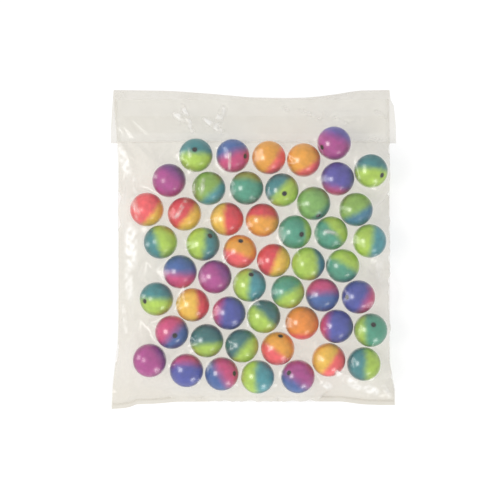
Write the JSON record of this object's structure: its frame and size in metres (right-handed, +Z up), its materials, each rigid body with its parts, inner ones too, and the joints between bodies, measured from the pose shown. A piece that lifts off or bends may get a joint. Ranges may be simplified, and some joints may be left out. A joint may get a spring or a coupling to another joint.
{
  "type": "bag of bouncy balls",
  "caption": "Clear film bag with a fold-over flap, lying on its back, filled with one layer of two-colour rubber bouncy balls.",
  "frame": {"origin": "bottom centre of the bag's bounding box, on the surface it lies on", "axes": "+Z up out of the bag's front, +Y towards the folded mouth, +X to the right seen from above"},
  "size_m": [0.2296, 0.257, 0.0287],
  "materials": {
    "clear_film": "thin clear soft film, glossy with fine creases",
    "welded_film": "melted clear film, slightly hazy",
    "adhesive": "clear tacky strip",
    "rubber_violet_pink": "glossy moulded rubber, violet blending into pink",
    "rubber_teal_lime": "glossy moulded rubber, teal blending into lime",
    "rubber_coral_amber": "glossy moulded rubber, coral blending into amber"
  },
  "bodies": {
    "bag": {"front_film": "clear_film", "back_film": "clear_film", "bottom_weld": "welded_film", "left_side_weld": "welded_film", "right_side_weld": "welded_film"},
    "flap": {"flap_film": "clear_film", "adhesive_strip": "adhesive"},
    "ball_01": {"ball_01_teal_lime": "rubber_teal_lime"},
    "ball_02": {"ball_02_violet_pink": "rubber_violet_pink"},
    "ball_03": {"ball_03_coral_amber": "rubber_coral_amber"},
    "ball_04": {"ball_04_coral_amber": "rubber_coral_amber"},
    "ball_05": {"ball_05_violet_pink": "rubber_violet_pink"},
    "ball_06": {"ball_06_teal_lime": "rubber_teal_lime"},
    "ball_07": {"ball_07_violet_pink": "rubber_violet_pink"},
    "ball_08": {"ball_08_teal_lime": "rubber_teal_lime"},
    "ball_09": {"ball_09_teal_lime": "rubber_teal_lime"},
    "ball_10": {"ball_10_teal_lime": "rubber_teal_lime"},
    "ball_11": {"ball_11_violet_pink": "rubber_violet_pink"},
    "ball_12": {"ball_12_teal_lime": "rubber_teal_lime"},
    "ball_13": {"ball_13_teal_lime": "rubber_teal_lime"},
    "ball_14": {"ball_14_coral_amber": "rubber_coral_amber"},
    "ball_15": {"ball_15_coral_amber": "rubber_coral_amber"},
    "ball_16": {"ball_16_coral_amber": "rubber_coral_amber"},
    "ball_17": {"ball_17_coral_amber": "rubber_coral_amber"},
    "ball_18": {"ball_18_teal_lime": "rubber_teal_lime"},
    "ball_19": {"ball_19_teal_lime": "rubber_teal_lime"},
    "ball_20": {"ball_20_teal_lime": "rubber_teal_lime"},
    "ball_21": {"ball_21_teal_lime": "rubber_teal_lime"},
    "ball_22": {"ball_22_teal_lime": "rubber_teal_lime"},
    "ball_23": {"ball_23_coral_amber": "rubber_coral_amber"},
    "ball_24": {"ball_24_coral_amber": "rubber_coral_amber"},
    "ball_25": {"ball_25_teal_lime": "rubber_teal_lime"},
    "ball_26": {"ball_26_teal_lime": "rubber_teal_lime"},
    "ball_27": {"ball_27_violet_pink": "rubber_violet_pink"},
    "ball_28": {"ball_28_violet_pink": "rubber_violet_pink"},
    "ball_29": {"ball_29_teal_lime": "rubber_teal_lime"},
    "ball_30": {"ball_30_teal_lime": "rubber_teal_lime"},
    "ball_31": {"ball_31_violet_pink": "rubber_violet_pink"},
    "ball_32": {"ball_32_violet_pink": "rubber_violet_pink"},
    "ball_33": {"ball_33_teal_lime": "rubber_teal_lime"},
    "ball_34": {"ball_34_coral_amber": "rubber_coral_amber"},
    "ball_35": {"ball_35_violet_pink": "rubber_violet_pink"},
    "ball_36": {"ball_36_teal_lime": "rubber_teal_lime"},
    "ball_37": {"ball_37_coral_amber": "rubber_coral_amber"},
    "ball_38": {"ball_38_violet_pink": "rubber_violet_pink"},
    "ball_39": {"ball_39_teal_lime": "rubber_teal_lime"},
    "ball_40": {"ball_40_violet_pink": "rubber_violet_pink"},
    "ball_41": {"ball_41_teal_lime": "rubber_teal_lime"},
    "ball_42": {"ball_42_teal_lime": "rubber_teal_lime"},
    "ball_43": {"ball_43_coral_amber": "rubber_coral_amber"},
    "ball_44": {"ball_44_coral_amber": "rubber_coral_amber"},
    "ball_45": {"ball_45_teal_lime": "rubber_teal_lime"},
    "ball_46": {"ball_46_violet_pink": "rubber_violet_pink"},
    "ball_47": {"ball_47_violet_pink": "rubber_violet_pink"},
    "ball_48": {"ball_48_violet_pink": "rubber_violet_pink"},
    "ball_49": {"ball_49_teal_lime": "rubber_teal_lime"},
    "ball_50": {"ball_50_violet_pink": "rubber_violet_pink"}
  },
  "joints": [
    {"name": "bag_flap_fold", "type": "hinge", "parent": "bag", "child": "flap", "pos_m": [0, 0.1211, 0.00047], "axis": [1, 0, 0], "range_deg": [0, 180]},
    {"name": "ball_01_shift", "type": "slide", "parent": "bag", "child": "ball_01", "axis": [-0.1736, 0.9848, 0], "range_m": [0, 0.00546]},
    {"name": "ball_02_shift", "type": "slide", "parent": "bag", "child": "ball_02", "axis": [-0.0872, 0.9962, 0], "range_m": [0, 0.00546]},
    {"name": "ball_03_shift", "type": "slide", "parent": "bag", "child": "ball_03", "axis": [-0.1736, 0.9848, 0], "range_m": [0, 0.00546]},
    {"name": "ball_04_turn", "type": "hinge", "parent": "bag", "child": "ball_04", "pos_m": [0.04013, 0.07153, 0.0139], "axis": [0, 0, 1], "continuous": true},
    {"name": "ball_05_shift", "type": "slide", "parent": "bag", "child": "ball_05", "axis": [1, 0, 0], "range_m": [0, 0.00683]},
    {"name": "ball_06_shift", "type": "slide", "parent": "bag", "child": "ball_06", "axis": [-0.0349, 0.9994, 0], "range_m": [0, 0.00409]},
    {"name": "ball_07_shift", "type": "slide", "parent": "bag", "child": "ball_07", "axis": [-0.866, 0.5, 0], "range_m": [0, 0.00683]},
    {"name": "ball_08_turn", "type": "hinge", "parent": "bag", "child": "ball_08", "pos_m": [-0.03576, 0.04887, 0.0139], "axis": [0, 0, 1], "continuous": true},
    {"name": "ball_09_turn", "type": "hinge", "parent": "bag", "child": "ball_09", "pos_m": [-0.00546, 0.04914, 0.0139], "axis": [0, 0, 1], "continuous": true},
    {"name": "ball_10_turn", "type": "hinge", "parent": "bag", "child": "ball_10", "pos_m": [0.02266, 0.0475, 0.0139], "axis": [0, 0, 1], "continuous": true},
    {"name": "ball_11_turn", "type": "hinge", "parent": "bag", "child": "ball_11", "pos_m": [0.06716, 0.05651, 0.0139], "axis": [0, 0, 1], "continuous": true},
    {"name": "ball_12_turn", "type": "hinge", "parent": "bag", "child": "ball_12", "pos_m": [0.04805, 0.03685, 0.0139], "axis": [0, 0, 1], "continuous": true},
    {"name": "ball_13_shift", "type": "slide", "parent": "bag", "child": "ball_13", "axis": [0.766, 0.6428, 0], "range_m": [0, 0.00328]},
    {"name": "ball_14_shift", "type": "slide", "parent": "bag", "child": "ball_14", "axis": [-1, 0, 0], "range_m": [0, 0.00491]},
    {"name": "ball_15_turn", "type": "hinge", "parent": "bag", "child": "ball_15", "pos_m": [-0.05515, 0.02839, 0.0139], "axis": [0, 0, 1], "continuous": true},
    {"name": "ball_16_turn", "type": "hinge", "parent": "bag", "child": "ball_16", "pos_m": [-0.02129, 0.0243, 0.0139], "axis": [0, 0, 1], "continuous": true},
    {"name": "ball_17_turn", "type": "hinge", "parent": "bag", "child": "ball_17", "pos_m": [0.0071, 0.02348, 0.0139], "axis": [0, 0, 1], "continuous": true},
    {"name": "ball_18_turn", "type": "hinge", "parent": "bag", "child": "ball_18", "pos_m": [0.03303, 0.01392, 0.0139], "axis": [0, 0, 1], "continuous": true},
    {"name": "ball_19_turn", "type": "hinge", "parent": "bag", "child": "ball_19", "pos_m": [0.06197, 0.0131, 0.0139], "axis": [0, 0, 1], "continuous": true},
    {"name": "ball_20_shift", "type": "slide", "parent": "bag", "child": "ball_20", "axis": [0.2079, -0.9781, 0], "range_m": [0, 0.00328]},
    {"name": "ball_21_shift", "type": "slide", "parent": "bag", "child": "ball_21", "axis": [-0.9397, -0.342, 0], "range_m": [0, 0.00546]},
    {"name": "ball_22_turn", "type": "hinge", "parent": "bag", "child": "ball_22", "pos_m": [-0.0404, 0.00437, 0.0139], "axis": [0, 0, 1], "continuous": true},
    {"name": "ball_23_turn", "type": "hinge", "parent": "bag", "child": "ball_23", "pos_m": [-0.01092, -0.00164, 0.0139], "axis": [0, 0, 1], "continuous": true},
    {"name": "ball_24_turn", "type": "hinge", "parent": "bag", "child": "ball_24", "pos_m": [0.01611, -0.00874, 0.0139], "axis": [0, 0, 1], "continuous": true},
    {"name": "ball_25_turn", "type": "hinge", "parent": "bag", "child": "ball_25", "pos_m": [0.04368, -0.01147, 0.0139], "axis": [0, 0, 1], "continuous": true},
    {"name": "ball_26_turn", "type": "hinge", "parent": "bag", "child": "ball_26", "pos_m": [0.07125, -0.0131, 0.0139], "axis": [0, 0, 1], "continuous": true},
    {"name": "ball_27_turn", "type": "hinge", "parent": "bag", "child": "ball_27", "pos_m": [-0.05869, -0.01775, 0.0139], "axis": [0, 0, 1], "continuous": true},
    {"name": "ball_28_turn", "type": "hinge", "parent": "bag", "child": "ball_28", "pos_m": [-0.03085, -0.02184, 0.0139], "axis": [0, 0, 1], "continuous": true},
    {"name": "ball_29_turn", "type": "hinge", "parent": "bag", "child": "ball_29", "pos_m": [-0.00328, -0.02839, 0.0139], "axis": [0, 0, 1], "continuous": true},
    {"name": "ball_30_turn", "type": "hinge", "parent": "bag", "child": "ball_30", "pos_m": [0.0273, -0.03385, 0.0139], "axis": [0, 0, 1], "continuous": true},
    {"name": "ball_31_turn", "type": "hinge", "parent": "bag", "child": "ball_31", "pos_m": [0.05515, -0.03631, 0.0139], "axis": [0, 0, 1], "continuous": true},
    {"name": "ball_32_shift", "type": "slide", "parent": "bag", "child": "ball_32", "axis": [0.866, 0.5, 0], "range_m": [0, 0.00683]},
    {"name": "ball_33_shift", "type": "slide", "parent": "bag", "child": "ball_33", "axis": [-0.9397, 0.342, 0], "range_m": [0, 0.00546]},
    {"name": "ball_34_turn", "type": "hinge", "parent": "bag", "child": "ball_34", "pos_m": [-0.04859, -0.04423, 0.0139], "axis": [0, 0, 1], "continuous": true},
    {"name": "ball_35_turn", "type": "hinge", "parent": "bag", "child": "ball_35", "pos_m": [-0.01966, -0.05078, 0.0139], "axis": [0, 0, 1], "continuous": true},
    {"name": "ball_36_turn", "type": "hinge", "parent": "bag", "child": "ball_36", "pos_m": [0.00819, -0.05351, 0.0139], "axis": [0, 0, 1], "continuous": true},
    {"name": "ball_37_turn", "type": "hinge", "parent": "bag", "child": "ball_37", "pos_m": [0.03877, -0.05869, 0.0139], "axis": [0, 0, 1], "continuous": true},
    {"name": "ball_38_turn", "type": "hinge", "parent": "bag", "child": "ball_38", "pos_m": [0.06634, -0.06143, 0.0139], "axis": [0, 0, 1], "continuous": true},
    {"name": "ball_39_turn", "type": "hinge", "parent": "bag", "child": "ball_39", "pos_m": [0.09364, -0.06443, 0.0139], "axis": [0, 0, 1], "continuous": true},
    {"name": "ball_40_turn", "type": "hinge", "parent": "bag", "child": "ball_40", "pos_m": [-0.06525, -0.06607, 0.0139], "axis": [0, 0, 1], "continuous": true},
    {"name": "ball_41_turn", "type": "hinge", "parent": "bag", "child": "ball_41", "pos_m": [-0.0374, -0.07289, 0.0139], "axis": [0, 0, 1], "continuous": true},
    {"name": "ball_42_turn", "type": "hinge", "parent": "bag", "child": "ball_42", "pos_m": [-0.00928, -0.07699, 0.0139], "axis": [0, 0, 1], "continuous": true},
    {"name": "ball_43_turn", "type": "hinge", "parent": "bag", "child": "ball_43", "pos_m": [0.01938, -0.07917, 0.0139], "axis": [0, 0, 1], "continuous": true},
    {"name": "ball_44_turn", "type": "hinge", "parent": "bag", "child": "ball_44", "pos_m": [0.06006, -0.08818, 0.0139], "axis": [0, 0, 1], "continuous": true},
    {"name": "ball_45_shift", "type": "slide", "parent": "bag", "child": "ball_45", "axis": [0.5, -0.866, 0], "range_m": [0, 0.00409]},
    {"name": "ball_46_shift", "type": "slide", "parent": "bag", "child": "ball_46", "axis": [-0.866, 0.5, 0], "range_m": [0, 0.00409]},
    {"name": "ball_47_turn", "type": "hinge", "parent": "bag", "child": "ball_47", "pos_m": [-0.05351, -0.09664, 0.0139], "axis": [0, 0, 1], "continuous": true},
    {"name": "ball_48_turn", "type": "hinge", "parent": "bag", "child": "ball_48", "pos_m": [-0.02539, -0.09937, 0.0139], "axis": [0, 0, 1], "continuous": true},
    {"name": "ball_49_turn", "type": "hinge", "parent": "bag", "child": "ball_49", "pos_m": [0.00328, -0.10183, 0.0139], "axis": [0, 0, 1], "continuous": true},
    {"name": "ball_50_turn", "type": "hinge", "parent": "bag", "child": "ball_50", "pos_m": [0.03549, -0.10156, 0.0139], "axis": [0, 0, 1], "continuous": true}
  ]
}
